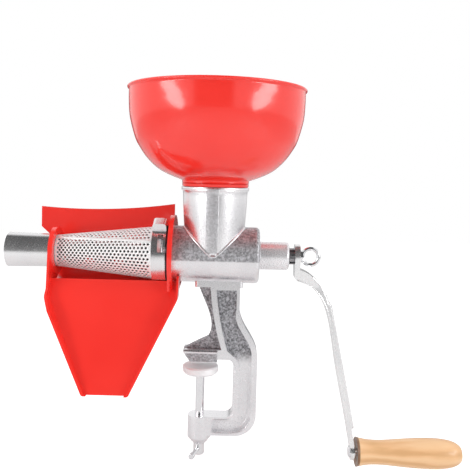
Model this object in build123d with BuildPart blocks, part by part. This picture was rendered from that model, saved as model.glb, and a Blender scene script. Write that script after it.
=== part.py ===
import os
from math import cos, pi, radians, sin

from build123d import *

# Hand cranked strainer with a table clamp, in millimetres. The origin is on the clamp screw's axis at the
# underside of the upper jaw. +X is the crank side, +Z is up and -Y is the side the slide faces.

# ---- clearances
run_gap = 0.05          # radial, shaft in its bush, grip on its spindle, thumb screw in the shaft
screw_gap = 0.08        # radial, clamp screw in the boss and in the pad
slip_gap = 0.3          # radial, collar on spigot, bowl in neck, slide rings on barrel and tube
face_gap = 0.3          # between faces of parts that move apart
slot_gap = 0.4          # pin in bayonet slot
flight_gap = 0.8        # auger flight to bore and screen

# ---- barrel, on a level axis along X
axis_z = 111.4
barrel_radius = 29.0
barrel_bore = 25.0
barrel_front = -34.6
barrel_end = 58.0
barrel_round = 4.0
end_wall = 8.0
spigot_radius = 27.0
spigot_end = -45.2
housing_radius = 14.4
housing_end = 89.0
housing_round = 3.0

# ---- hopper neck
neck_x = 11.0
neck_top = 181.2
lip_height = 3.2
lip_radius = 34.8
neck_radius = 33.2
neck_waist_radius = 31.9
neck_waist_z = 150.0
neck_root_radius = 28.9
throat_radius = 24.5
socket_radius = 28.4
socket_depth = 21.0

# ---- bracket and clamp frame
web_half = 4.0
flange_half = 10.5
head_left = -5.0
head_right = 39.3
head_z = 87.4
waist_left = 10.4
waist_z = 35.0
haunch_left = 6.9
haunch_z = 54.6
neckline_left = 7.4
neckline_z = 25.5
brow_left = -3.9
brow_z = 20.1
jaw_tip_x = -18.1
jaw_tip_z = 12.0
jaw_front_x = -10.6
jaw_back_x = 17.4
jaw_step = 3.2
jaw_half = 15.0
jaw_sole_half = 9.5
column_inner = 34.2
column_outer = 59.0
shoulder_z = 4.0
elbow_x = 53.8
elbow_z = 23.2
back_x = 44.6
back_z = 38.4
nape_z = 55.7
arm_top = -57.5
arm_bottom = -77.0
arm_corner = 22.0
gap_corner = 8.0
jaw_corner = 6.0
rib_width = 6.0
rib_top_x = 12.0
rib_mid_x = 17.0
rib_mid_z = 42.0
rib_foot_x = 24.6
rib_foot_z = 12.4
column_flange = 6.0
arm_flange = 3.2
top_plate_left = -7.1
top_plate_right = 42.1
top_plate_z = 78.8
top_plate_height = 5.6
top_plate_half = 13.0
pocket_round = 3.0
boss_radius = 12.2
boss_bottom = -81.3
boss_cone = 6.5
boss_land = 1.0
boss_tip_radius = 6.4

# ---- bayonet
pin_x = -42.2
pin_radius = 2.2
pin_inner = 26.2
pin_outer = 30.6
pin_tilt = 52.0          # degrees from the top towards the front
pin_count = 2
twist_travel = 25.0
slot_margin = 5.4        # degrees of slot past the pin at each end
collar_front = -51.0
collar_back = -37.0
collar_radius = 30.3
collar_seat = 4.6
lug_tilt = 25.0
lug_top = 38.0
lug_width = 13.0
lug_round = 3.2
gasket_radius = 28.6

# ---- screen and outlet tube
screen_small_x = -151.0
screen_small_radius = 16.2
screen_big_radius = 27.4
screen_wall = 0.8
screen_skirt = 5.0
hole_radius = 1.3
hole_rows = 11
hole_count = 14
hole_margin = 8.0
tube_end = -201.6
tube_end_radius = 17.8
tube_radius = 17.2
tube_wall = 1.5
tube_flare = 30.0

# ---- slide with its back plate
plate_y = 31.0
sheet = 2.4
plate_left = -177.7
plate_right = -33.4
plate_left_top = 155.4
plate_mid_top = 153.8
plate_right_top = 161.4
plate_mid_x = -115.0
plate_low = 133.6
plate_notch = 20.0
left_ring_x = -155.4
left_ring_radius = 24.6
right_ring_x = -33.9
right_ring_radius = 40.0
ring_width = 4.6
trough_radius = 31.0
trough_lip_y = -15.0
trough_lip_z = 79.3
bend_y = -33.0
bend_z = 50.1
lip_y = -62.0
lip_z = -18.3
rim_height = 14.0
rim_low_height = 7.0
bend_lean = 0.4          # slope of the sheet at its bends, per unit of thickness
slide_left = -155.4
slide_right = -22.8
slide_wide_z = 69.1
slide_top_z = 94.0
slide_round = 9.0
lip_left = -109.4
lip_right = -65.2
lip_round = 3.0
bottom_gap = 0.4

# ---- hopper bowl, heights above the neck
bowl_wall = 2.2
bowl_rise = 101.2
bowl_lip = 91.9
bowl_lip_height = 3.0
bowl_radius = 90.2
bowl_knee_radius = 88.7
bowl_knee_rise = 69.2
bowl_hip_radius = 83.2
bowl_hip_rise = 48.8
bowl_heel_radius = 70.4
bowl_heel_rise = 28.3
bowl_sole_radius = 50.0
bowl_sole_rise = 13.0
bowl_foot_radius = 34.6
bowl_foot_rise = 6.9
bowl_spigot_radius = 28.1
bowl_spigot_depth = 19.0
bowl_throat = 24.6

# ---- auger and drive shaft
auger_core = 8.5
auger_tip_core = 6.5
auger_back = 46.5
auger_front = -149.0
auger_pitch = 30.0
flight_thickness = 4.0
flight_steps = 16
shaft_radius = 5.95
shaft_front = 12.0
shaft_flat = 9.0
bush_radius = 8.0
washer_radius = 13.0
washer_length = 3.0
seal_radius = 10.0
seal_length = 3.0
dog_start = 89.4
dog_end = 94.8
dog_radius = 8.4
dog_teeth = 8
dog_notch = 2.6
dog_depth = 1.6

# ---- crank arm
eye_left = 94.9
eye_right = 100.4
eye_radius = 12.8
arm_half = 7.5
arm_waist_z = 80.7
arm_foot_half = 6.5
foot_radius = 8.8
handle_z = -94.3
crank_tip_z = -103.8
knee_x = 113.5
knee_z = 92.0
bend_out_x = 124.5
bend_out_z = 80.2
run_out_x = 132.4
run_out_z = 62.4
mid_out_x = 145.9
mid_out_z = 10.6
low_out_x = 154.6
low_out_z = -29.3
end_out_x = 162.1
end_out_z = -66.3
tip_out_x = 163.4
tip_in_x = 160.2
low_in_x = 153.2
low_in_z = -57.9
mid_in_x = 139.8
mid_in_z = 6.6
run_in_x = 131.4
run_in_z = 50.0
bend_in_x = 122.0
bend_in_z = 70.9
arch_in_x = 110.5
arch_in_z = 82.3
heel_in_x = 97.0
heel_in_z = 87.4
groove_half = 3.6
groove_depth = 3.0
flange_step = 2.2
cut_past = 2.0           # how far cutters run past a face

# ---- thumb screw
thumb_shank = 2.95
thumb_depth = 16.0
thumb_collar = 6.2
thumb_collar_length = 3.0
thumb_ring_x = 111.7
thumb_ring_radius = 8.5
thumb_wire = 2.1

# ---- handle
grip_left = 165.8
grip_right = 276.6
grip_flare = 15.1
grip_waist = 12.5
grip_waist_x = 183.0
grip_swell = 14.0
grip_swell_x = 212.0
grip_belly = 15.6
grip_belly_x = 244.0
grip_shoulder = 14.3
grip_shoulder_x = 263.0
grip_cheek = 11.0
grip_cheek_x = 272.8
grip_nose = 7.9
grip_dish = 2.0
spindle_radius = 4.0
spindle_head = 6.0
spindle_head_length = 2.4
head_pocket = 7.2
head_pocket_depth = 5.0
handle_washer_radius = 7.5
handle_washer_length = 1.2

# ---- clamp screw, pad and tommy bar
screw_radius = 4.6
pad_radius = 18.8
pad_top = -5.3
pad_bottom = -13.9
pad_step = 3.0
pad_step_radius = 18.0
pad_round = 2.0
nose_radius = 3.4
nose_height = 5.0
keeper_radius = 8.4
keeper_length = 2.4
head_radius = 5.8
head_top = -88.2
head_bottom = -100.5
bar_radius = 2.3
bar_half = 26.0
bar_z = -93.6
bar_turn = 14.0          # degrees from the -Y direction towards -X
knob_radius = 3.0
knob_length = 5.0
round_edge = 1.2

os.makedirs("parts", exist_ok=True)

barrel_axis = Axis((0, 0, axis_z), (1, 0, 0))
handle_axis = Axis((0, 0, handle_z), (1, 0, 0))
neck_axis = Axis((neck_x, 0, 0), (0, 0, 1))
screw_axis = Axis((0, 0, 0), (0, 0, 1))


def face_xz(points):
    """A flat face in the XZ plane through points of (x, z)."""
    with BuildSketch(Plane.XZ) as face:
        with BuildLine():
            Polyline(*points, close=True)
        make_face()
    return face.sketch


def face_yz(points, x):
    """A flat face at x through points of (y, z)."""
    with BuildSketch(Plane.YZ.offset(x)) as face:
        with BuildLine():
            Polyline(*points, close=True)
        make_face()
    return face.sketch


def ring_face(inner, outer, x0, x1, centre_z):
    """Half section of a ring along X."""
    return face_xz([(x0, centre_z + inner), (x1, centre_z + inner), (x1, centre_z + outer), (x0, centre_z + outer)])


def x_disc(radius, x, centre_z):
    """A circle facing X, centred at y = 0."""
    with BuildSketch(Plane(origin=(x, 0, centre_z), z_dir=(1, 0, 0))) as face:
        Circle(radius)
    return face.sketch


def z_disc(radius, x, z):
    """A circle facing Z."""
    with BuildSketch(Plane(origin=(x, 0, z))) as face:
        Circle(radius)
    return face.sketch


def save(piece, name):
    piece.part.label = name
    export_step(piece.part, "parts/" + name + ".step")


# ---------------------------------------------------------------- body casting
def frame_outline():
    """Side view of the bracket and clamp frame."""
    with BuildSketch(Plane.XZ) as face:
        with BuildLine():
            web_edge = Spline((head_left, head_z), (haunch_left, haunch_z), (waist_left, waist_z),
                              (neckline_left, neckline_z))
            brow = Spline(web_edge @ 1, (brow_left, brow_z), (jaw_tip_x, jaw_tip_z))
            Polyline(brow @ 1, (jaw_front_x, 0), (jaw_back_x, 0), (jaw_back_x, jaw_step),
                     (column_inner, jaw_step), (column_inner, arm_top), (0, arm_top), (0, arm_bottom),
                     (column_outer, arm_bottom), (column_outer, shoulder_z))
            Spline((column_outer, shoulder_z), (elbow_x, elbow_z), (back_x, back_z), (head_right, nape_z))
            Polyline((head_right, nape_z), (head_right, head_z), (head_left, head_z))
        make_face()
        corners = face.vertices()
        fillet(corners.sort_by_distance((column_inner, jaw_step))[0], jaw_corner)
        corners = face.vertices()
        fillet(corners.sort_by_distance((column_inner, arm_top))[0], gap_corner)
        corners = face.vertices()
        fillet(corners.sort_by_distance((column_outer, arm_bottom))[0], arm_corner)
    return face.sketch


def long_pocket():
    """Recess between the rib and the outer flange, down the column and along the arm."""
    rib_right = rib_width * 0.5
    pocket_top = top_plate_z - arm_flange
    inner_edge = column_inner + column_flange
    outer_edge = column_outer - column_flange
    with BuildSketch(Plane.XZ) as face:
        with BuildLine():
            rib_edge = Spline((rib_top_x + rib_right, pocket_top), (rib_mid_x + rib_right, rib_mid_z),
                              (rib_foot_x + rib_right, rib_foot_z))
            shoulder = Spline(rib_edge @ 1, (inner_edge, -jaw_corner), tangents=[(1, -1), (0, -1)])
            Polyline(shoulder @ 1, (inner_edge, arm_top - arm_flange), (boss_radius + boss_land, arm_top - arm_flange),
                     (boss_radius + boss_land, arm_bottom + arm_flange), (outer_edge, arm_bottom + arm_flange),
                     (outer_edge, shoulder_z))
            Spline((outer_edge, shoulder_z), (elbow_x - column_flange, elbow_z),
                   (back_x - column_flange, back_z), (head_right - arm_flange, nape_z))
            Polyline((head_right - arm_flange, nape_z), (head_right - arm_flange, pocket_top), rib_edge @ 0)
        make_face()
        corners = face.vertices()
        fillet(corners.sort_by_distance((outer_edge, arm_bottom + arm_flange))[0], arm_corner - column_flange)
    return face.sketch


def jaw_pocket():
    """Recess to the left of the rib, above the jaw's foot."""
    rib_left = rib_width * 0.5
    with BuildSketch(Plane.XZ) as face:
        with BuildLine():
            rib_edge = Spline((rib_top_x - rib_left, top_plate_z), (rib_mid_x - rib_left, rib_mid_z),
                              (rib_foot_x - rib_left, jaw_tip_z + round_edge))
            Polyline(rib_edge @ 1, (jaw_tip_x - jaw_corner, jaw_tip_z + round_edge),
                     (jaw_tip_x - jaw_corner, top_plate_z), rib_edge @ 0)
        make_face()
    return face.sketch


def casting_blank():
    """Barrel, shaft housing and front spigot as one turned outline."""
    with BuildSketch(Plane.XZ) as face:
        with BuildLine():
            Polyline((spigot_end, axis_z), (spigot_end, axis_z + spigot_radius),
                     (barrel_front, axis_z + spigot_radius), (barrel_front, axis_z + barrel_radius),
                     (barrel_end, axis_z + barrel_radius), (barrel_end, axis_z + housing_radius),
                     (housing_end, axis_z + housing_radius), (housing_end, axis_z), close=True)
        make_face()
        corners = face.vertices()
        fillet(corners.sort_by_distance((barrel_end, axis_z + barrel_radius))[0], barrel_round)
        corners = face.vertices()
        fillet(corners.sort_by_distance((housing_end, axis_z + housing_radius))[0], housing_round)
    return face.sketch


def jaw_foot():
    """The foot of the jaw, wider at its ridge than at its sole."""
    ridge = (jaw_back_x + jaw_tip_x) * 0.5
    sole = (jaw_back_x + jaw_front_x) * 0.5
    with BuildPart() as foot:
        with BuildSketch(Plane(origin=(ridge, 0, jaw_tip_z))):
            Rectangle(jaw_back_x - jaw_tip_x, 2 * jaw_half)
        with BuildSketch(Plane(origin=(sole, 0, 0))):
            Rectangle(jaw_back_x - jaw_front_x, 2 * jaw_sole_half)
        loft()
    return foot.part


foot_solid = jaw_foot()

with BuildPart() as body_casting:
    extrude(frame_outline(), amount=flange_half, both=True)
    for side in (-1, 1):
        add(extrude(long_pocket().moved(Location((0, -side * web_half, 0))), amount=flange_half,
                    dir=(0, -side, 0), mode=Mode.PRIVATE), mode=Mode.SUBTRACT)
        add(extrude(jaw_pocket().moved(Location((0, -side * web_half, 0))), amount=flange_half,
                    dir=(0, -side, 0), mode=Mode.PRIVATE), mode=Mode.SUBTRACT)
    add(foot_solid)
    with BuildSketch(Plane(origin=((top_plate_left + top_plate_right) * 0.5, 0, top_plate_z))):
        RectangleRounded(top_plate_right - top_plate_left, 2 * top_plate_half, pocket_round)
    extrude(amount=top_plate_height + pocket_round)
    extrude(z_disc(boss_radius, 0, arm_top), amount=boss_bottom - arm_top)
    with BuildSketch(Plane(origin=(0, 0, boss_bottom))):
        Circle(boss_radius)
    with BuildSketch(Plane(origin=(0, 0, boss_bottom - boss_cone))):
        Circle(boss_tip_radius)
    loft()
    revolve(casting_blank(), axis=barrel_axis)
    neck_outline = [(neck_x, axis_z), (neck_x + neck_root_radius, axis_z),
                    (neck_x + neck_waist_radius, neck_waist_z), (neck_x + neck_radius, neck_top - lip_height),
                    (neck_x + lip_radius, neck_top - lip_height), (neck_x + lip_radius, neck_top),
                    (neck_x, neck_top)]
    revolve(face_xz(neck_outline), axis=neck_axis)
    extrude(x_disc(barrel_bore, spigot_end, axis_z), amount=barrel_end - end_wall - spigot_end, mode=Mode.SUBTRACT)
    extrude(z_disc(throat_radius, neck_x, axis_z), amount=neck_top - axis_z, mode=Mode.SUBTRACT)
    extrude(z_disc(socket_radius, neck_x, neck_top), amount=-socket_depth, mode=Mode.SUBTRACT)
    extrude(x_disc(bush_radius, barrel_end - end_wall, axis_z), amount=housing_end - barrel_end + end_wall,
            mode=Mode.SUBTRACT)
    extrude(x_disc(seal_radius, barrel_end - end_wall, axis_z), amount=seal_length, mode=Mode.SUBTRACT)
    extrude(z_disc(screw_radius + screw_gap, 0, arm_top), amount=boss_bottom - boss_cone - arm_top,
            mode=Mode.SUBTRACT)
    for k in range(pin_count):
        spin = radians(pin_tilt) + k * 2 * pi / pin_count
        radial = (0, -sin(spin), cos(spin))
        seat = Plane(origin=(pin_x, radial[1] * pin_inner, axis_z + radial[2] * pin_inner), z_dir=radial)
        with BuildSketch(seat):
            Circle(pin_radius)
        extrude(amount=pin_outer - pin_inner, mode=Mode.SUBTRACT)

save(body_casting, "body_casting")

with BuildPart() as bayonet_pins:
    for k in range(pin_count):
        spin = radians(pin_tilt) + k * 2 * pi / pin_count
        radial = (0, -sin(spin), cos(spin))
        seat = Plane(origin=(pin_x, radial[1] * pin_inner, axis_z + radial[2] * pin_inner), z_dir=radial)
        with BuildSketch(seat):
            Circle(pin_radius)
        extrude(amount=pin_outer - pin_inner)
save(bayonet_pins, "bayonet_pins")

with BuildPart() as strainer_gasket:
    revolve(ring_face(spigot_radius, gasket_radius, collar_back + face_gap, barrel_front, axis_z), axis=barrel_axis)
save(strainer_gasket, "strainer_gasket")

with BuildPart() as shaft_bush:
    bush_start = barrel_end - end_wall + seal_length
    revolve(ring_face(shaft_radius + run_gap, bush_radius, bush_start, housing_end, axis_z), axis=barrel_axis)
save(shaft_bush, "shaft_bush")

with BuildPart() as shaft_seal:
    seal_start = barrel_end - end_wall
    revolve(ring_face(shaft_radius + run_gap, seal_radius, seal_start, seal_start + seal_length, axis_z),
            axis=barrel_axis)
save(shaft_seal, "shaft_seal")

# ---------------------------------------------------------------- hopper bowl
top_level = neck_top + bowl_rise
knee_level = neck_top + bowl_knee_rise
hip_level = neck_top + bowl_hip_rise
heel_level = neck_top + bowl_heel_rise
sole_level = neck_top + bowl_sole_rise
foot_level = neck_top + bowl_foot_rise

with BuildPart() as hopper_bowl:
    with BuildSketch(Plane.XZ):
        with BuildLine():
            flank = Spline((neck_x + bowl_foot_radius, foot_level), (neck_x + bowl_sole_radius, sole_level),
                           (neck_x + bowl_heel_radius, heel_level), (neck_x + bowl_hip_radius, hip_level),
                           (neck_x + bowl_knee_radius, knee_level),
                           (neck_x + bowl_radius, top_level - bowl_lip_height), tangents=[(1, 0), (0, 1)])
            Polyline(flank @ 1, (neck_x + bowl_lip, top_level - bowl_lip_height), (neck_x + bowl_lip, top_level),
                     (neck_x + bowl_radius - bowl_wall, top_level))
            inner = Spline((neck_x + bowl_radius - bowl_wall, top_level),
                           (neck_x + bowl_knee_radius - bowl_wall, knee_level + bowl_wall * 0.5),
                           (neck_x + bowl_hip_radius - bowl_wall, hip_level + bowl_wall * 0.5),
                           (neck_x + bowl_heel_radius - bowl_wall, heel_level + bowl_wall),
                           (neck_x + bowl_sole_radius - bowl_wall, sole_level + bowl_wall),
                           (neck_x + bowl_throat, foot_level + bowl_wall), tangents=[(0, -1), (-1, 0)])
            Polyline(inner @ 1, (neck_x + bowl_throat, neck_top - bowl_spigot_depth),
                     (neck_x + bowl_spigot_radius, neck_top - bowl_spigot_depth),
                     (neck_x + bowl_spigot_radius, neck_top + face_gap),
                     (neck_x + bowl_foot_radius, neck_top + face_gap), flank @ 0)
        make_face()
    revolve(axis=neck_axis)
save(hopper_bowl, "hopper_bowl")

# ---------------------------------------------------------------- strainer
with BuildPart() as strainer_screen:
    screen_end = collar_front + collar_seat
    small_in = screen_small_radius - screen_wall
    big_in = screen_big_radius - screen_wall
    revolve(face_xz([(screen_small_x - screen_skirt, axis_z + small_in), (screen_small_x, axis_z + small_in),
                     (collar_front, axis_z + big_in), (screen_end, axis_z + big_in),
                     (screen_end, axis_z + screen_big_radius), (collar_front, axis_z + screen_big_radius),
                     (screen_small_x, axis_z + screen_small_radius),
                     (screen_small_x - screen_skirt, axis_z + screen_small_radius)]), axis=barrel_axis)
    row_pitch = (collar_front - screen_small_x - 2 * hole_margin) / (hole_rows - 1)
    spots = []
    for row in range(hole_rows):
        hole_x = screen_small_x + hole_margin + row * row_pitch
        for k in range(hole_count):
            spin = 2 * pi * (k + 0.5 * (row % 2)) / hole_count
            radial = (0, -sin(spin), cos(spin))
            spots.append(Plane(origin=(hole_x, 0, axis_z), x_dir=(1, 0, 0), z_dir=radial))
    with Locations(*spots):
        Cylinder(hole_radius, barrel_radius, align=(Align.CENTER, Align.CENTER, Align.MIN), mode=Mode.SUBTRACT)
save(strainer_screen, "strainer_screen")

with BuildPart() as strainer_collar:
    bore = spigot_radius + slip_gap
    revolve(ring_face(bore, collar_radius, collar_front, collar_back, axis_z), axis=barrel_axis)
    tilt = radians(lug_tilt)
    lug_mid = (collar_front + collar_back) * 0.5
    lug_base = collar_radius - lug_round
    lug_plane = Plane(origin=(lug_mid, 0, axis_z), x_dir=(1, 0, 0), z_dir=(0, -cos(tilt), -sin(tilt)))
    with BuildSketch(lug_plane):
        with Locations((0, (lug_base + lug_top) * 0.5)):
            RectangleRounded(collar_back - collar_front, lug_top - lug_base, lug_round)
    extrude(amount=lug_width * 0.5, both=True)
    revolve(ring_face(0, bore, collar_front, collar_back, axis_z), axis=barrel_axis, mode=Mode.SUBTRACT)
    revolve(ring_face(0, screen_big_radius, collar_front, collar_front + collar_seat, axis_z), axis=barrel_axis,
            mode=Mode.SUBTRACT)
    slot_half = pin_radius + slot_gap
    slot_face = ring_face(spigot_radius - cut_past, collar_radius + cut_past, pin_x - slot_half, pin_x + slot_half, axis_z)
    for k in range(pin_count):
        start = -(pin_tilt - slot_margin + k * 360.0 / pin_count)
        sweep_face = slot_face.rotate(barrel_axis, -start)
        revolve(sweep_face, axis=barrel_axis, revolution_arc=twist_travel + 2 * slot_margin, mode=Mode.SUBTRACT)
        mouth = radians(pin_tilt + twist_travel + k * 360.0 / pin_count)
        radial = (0, -sin(mouth), cos(mouth))
        mouth_plane = Plane(origin=(pin_x, 0, axis_z), x_dir=(1, 0, 0), z_dir=radial)
        with BuildSketch(mouth_plane):
            with Locations(((collar_back - pin_x) * 0.5, 0)):
                Rectangle(collar_back - pin_x + face_gap, 2 * slot_half)
        extrude(amount=lug_top, mode=Mode.SUBTRACT)
save(strainer_collar, "strainer_collar")

with BuildPart() as outlet_tube:
    tube_in = tube_radius - tube_wall
    revolve(face_xz([(tube_end, axis_z + tube_end_radius - tube_wall), (tube_end, axis_z + tube_end_radius),
                     (tube_end + tube_flare, axis_z + tube_radius), (screen_small_x, axis_z + tube_radius),
                     (screen_small_x, axis_z + screen_small_radius),
                     (screen_small_x - screen_skirt, axis_z + screen_small_radius),
                     (screen_small_x - screen_skirt, axis_z + tube_in), (tube_end + tube_flare, axis_z + tube_in)]),
            axis=barrel_axis)
save(outlet_tube, "outlet_tube")


# ---------------------------------------------------------------- juice slide
def slide_outline(inset):
    """Front view of the slide, inset by a wall."""
    with BuildSketch(Plane.XZ) as face:
        with BuildLine():
            Polyline((slide_left + inset, slide_top_z), (slide_left + inset, slide_wide_z),
                     (lip_left + inset, lip_z - bottom_gap), (lip_right - inset, lip_z - bottom_gap),
                     (slide_right - inset, slide_wide_z), (slide_right - inset, slide_top_z), close=True)
        make_face()
        for x, z, r in ((slide_left + inset, slide_wide_z, slide_round),
                        (slide_right - inset, slide_wide_z, slide_round),
                        (lip_left + inset, lip_z - bottom_gap, lip_round),
                        (lip_right - inset, lip_z - bottom_gap, lip_round)):
            corners = face.vertices()
            fillet(corners.sort_by_distance((x, z))[0], r)
    return face.sketch


def slide_side(lift):
    """Side view of the space above the slide's floor, lifted by the sheet."""
    front_y = bend_y - rim_height
    lean = lift * bend_lean
    return [(trough_lip_y, slide_top_z), (trough_lip_y - lean, trough_lip_z + lift),
            (bend_y - lift, bend_z + lean), (lip_y - lift, lip_z),
            (lip_y - lift, lip_z - 2 * sheet), (lip_y - rim_low_height, lip_z - 2 * sheet),
            (lip_y - rim_low_height, lip_z), (front_y, bend_z + rim_low_height),
            (trough_lip_y - rim_height, slide_wide_z + rim_low_height), (trough_lip_y - rim_low_height, slide_top_z)]


def slab(points, x0, x1):
    """A block along X with the given side view."""
    return extrude(face_yz(points, x0), amount=x1 - x0, mode=Mode.PRIVATE)


def slide_channel():
    deep = 2 * flange_half + 2 * rim_height - 2 * lip_y
    outer = extrude(slide_outline(0), amount=deep, both=True, mode=Mode.PRIVATE)
    inner = extrude(slide_outline(sheet), amount=deep, both=True, mode=Mode.PRIVATE)
    solid = slab(slide_side(0), slide_left, slide_right) & outer
    space = slab(slide_side(sheet), slide_left - sheet, slide_right + sheet) & inner
    opened = slab(slide_side(sheet), slide_left - sheet, slide_right + sheet).moved(
        Location((0, -rim_low_height, 0))) & inner
    return solid - space - opened


channel = slide_channel()

with BuildPart() as juice_chute:
    with BuildSketch(Plane.XZ.offset(-plate_y - sheet)):
        with BuildLine():
            top = Spline((plate_left, plate_left_top), (plate_mid_x, plate_mid_top), (plate_right, plate_right_top))
            Polyline(top @ 1, (plate_right, axis_z - rim_height), (left_ring_x, axis_z - rim_height),
                     (left_ring_x, plate_low - plate_notch), (plate_left, plate_low), top @ 0)
        make_face()
    extrude(amount=sheet)
    outer_r = trough_radius + sheet
    middle = (left_ring_x + slide_right) * 0.5
    length = slide_right - left_ring_x
    block = 4 * outer_r
    revolve(ring_face(trough_radius, outer_r, left_ring_x, slide_right, axis_z), axis=barrel_axis)
    with Locations((middle, -block * 0.5, axis_z)):
        Box(length + ring_width, block, block, mode=Mode.SUBTRACT)
    with Locations((middle, 0, axis_z + block * 0.5)):
        Box(length + ring_width, 2 * plate_y, block, mode=Mode.SUBTRACT)
    add(slab([(0, axis_z - trough_radius), (0, axis_z - outer_r), (trough_lip_y, trough_lip_z - sheet),
              (trough_lip_y - sheet, trough_lip_z)], left_ring_x, slide_right))
    add(channel)
    extrude(x_disc(trough_radius, left_ring_x - sheet, axis_z), amount=length + 2 * sheet, mode=Mode.SUBTRACT)
    extrude(x_disc(left_ring_radius, left_ring_x, axis_z), amount=ring_width)
    extrude(x_disc(right_ring_radius, right_ring_x, axis_z), amount=ring_width)
    for ring_x, ring_r in ((left_ring_x, left_ring_radius), (right_ring_x, right_ring_radius)):
        cheek = [(plate_y, axis_z + rim_height), (0, axis_z + rim_height), (-ring_r, axis_z),
                 (trough_lip_y - rim_height, slide_wide_z + rim_low_height),
                 (trough_lip_y, trough_lip_z), (0, axis_z - trough_radius), (plate_y, axis_z - rim_height)]
        add(slab(cheek, ring_x, ring_x + sheet))
    extrude(x_disc(tube_radius + slip_gap, left_ring_x - sheet, axis_z), amount=ring_width + 2 * sheet,
            mode=Mode.SUBTRACT)
    extrude(x_disc(barrel_radius + slip_gap, right_ring_x - sheet, axis_z), amount=ring_width + 2 * sheet,
            mode=Mode.SUBTRACT)
save(juice_chute, "juice_chute")


# ---------------------------------------------------------------- auger and shaft
def flight_radius(x):
    """Outer radius of the flight: level in the barrel, tapering in the screen."""
    big = barrel_bore - flight_gap
    small = screen_small_radius - screen_wall - flight_gap
    if x > collar_front:
        return big
    return small + (big - small) * (x - auger_front) / (collar_front - auger_front)


def blade_edge(x, angle):
    """Cross-section of the flight at x, a thin upright quadrilateral."""
    inner = auger_tip_core - round_edge
    outer = flight_radius(x)
    corners = []
    for reach, shift in ((inner, -1), (outer, -1), (outer, 1), (inner, 1)):
        corners.append(Vector(x + shift * flight_thickness * 0.5, -sin(angle) * reach, axis_z + cos(angle) * reach))
    return Wire.make_polygon(corners, close=True)


def flight_blades():
    """The helical flight as short ruled pieces, end to end."""
    turn = 2 * pi / flight_steps
    first = auger_front + flight_thickness * 0.5
    count = int((auger_back - auger_front - flight_thickness) / auger_pitch * flight_steps)
    advance = auger_pitch / flight_steps
    blades = []
    for k in range(count):
        x = first + k * advance
        blades.append(Solid.make_loft([blade_edge(x, k * turn), blade_edge(x + advance, (k + 1) * turn)], True))
    return blades


with BuildPart() as feed_auger:
    revolve(face_xz([(auger_front, axis_z), (auger_front, axis_z + auger_tip_core),
                     (barrel_front, axis_z + auger_core), (auger_back, axis_z + auger_core),
                     (auger_back, axis_z)]), axis=barrel_axis)
    add(flight_blades())
    extrude(x_disc(shaft_radius, shaft_front, axis_z), amount=auger_back - shaft_front, mode=Mode.SUBTRACT)
save(feed_auger, "feed_auger")

with BuildPart() as thrust_washer:
    revolve(ring_face(shaft_radius, washer_radius, auger_back, auger_back + washer_length, axis_z),
            axis=barrel_axis)
save(thrust_washer, "thrust_washer")

with BuildPart() as auger_shaft:
    extrude(x_disc(shaft_radius, shaft_front, axis_z), amount=dog_start - shaft_front)
    with BuildSketch(Plane(origin=(dog_start, 0, axis_z), z_dir=(1, 0, 0))):
        Rectangle(shaft_flat, shaft_flat)
    extrude(amount=eye_right - dog_start)
    extrude(x_disc(thumb_shank + run_gap, eye_right, axis_z), amount=-thumb_depth - cut_past, mode=Mode.SUBTRACT)
save(auger_shaft, "auger_shaft")

with BuildPart() as drive_dog:
    with BuildSketch(Plane(origin=(dog_start, 0, axis_z), z_dir=(1, 0, 0))):
        Circle(dog_radius)
        Rectangle(shaft_flat, shaft_flat, mode=Mode.SUBTRACT)
        with PolarLocations(dog_radius, dog_teeth):
            Rectangle(2 * dog_depth, dog_notch, mode=Mode.SUBTRACT)
    extrude(amount=dog_end - dog_start)
save(drive_dog, "drive_dog")


# ---------------------------------------------------------------- crank arm
def crank_side():
    """Side view of the arm, from the eye to the tip."""
    with BuildSketch(Plane.XZ) as face:
        with BuildLine():
            outer_bend = Spline((eye_right, axis_z - eye_radius), (knee_x, knee_z), (bend_out_x, bend_out_z),
                                (run_out_x, run_out_z))
            outer_run = Spline((run_out_x + flange_step, run_out_z), (mid_out_x, mid_out_z),
                               (low_out_x, low_out_z), (end_out_x, end_out_z))
            Line(outer_bend @ 1, outer_run @ 0)
            Polyline(outer_run @ 1, (end_out_x - flange_step, end_out_z - flange_step),
                     (tip_out_x, handle_z + foot_radius), (tip_out_x, crank_tip_z),
                     (tip_in_x, crank_tip_z), (tip_in_x, handle_z))
            inner_run = Spline((tip_in_x, handle_z), (low_in_x, low_in_z), (mid_in_x, mid_in_z),
                               (run_in_x, run_in_z), (bend_in_x, bend_in_z), (arch_in_x, arch_in_z),
                               (heel_in_x, heel_in_z))
            Polyline(inner_run @ 1, (eye_left, heel_in_z + groove_depth), (eye_left, axis_z + eye_radius),
                     (eye_right, axis_z + eye_radius), outer_bend @ 0)
        make_face()
    return face.sketch


def crank_front():
    """View of the arm along the shaft: eye, tapering shank and foot."""
    with BuildSketch(Plane.YZ.offset(eye_left)) as face:
        with Locations((0, axis_z)):
            Circle(eye_radius)
        with Locations((0, handle_z)):
            Circle(foot_radius)
        with BuildLine():
            Polyline((-eye_radius, axis_z), (eye_radius, axis_z), (arm_half, arm_waist_z), (arm_foot_half, handle_z),
                     (-arm_foot_half, handle_z), (-arm_half, arm_waist_z), close=True)
        make_face()
    return face.sketch


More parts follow.
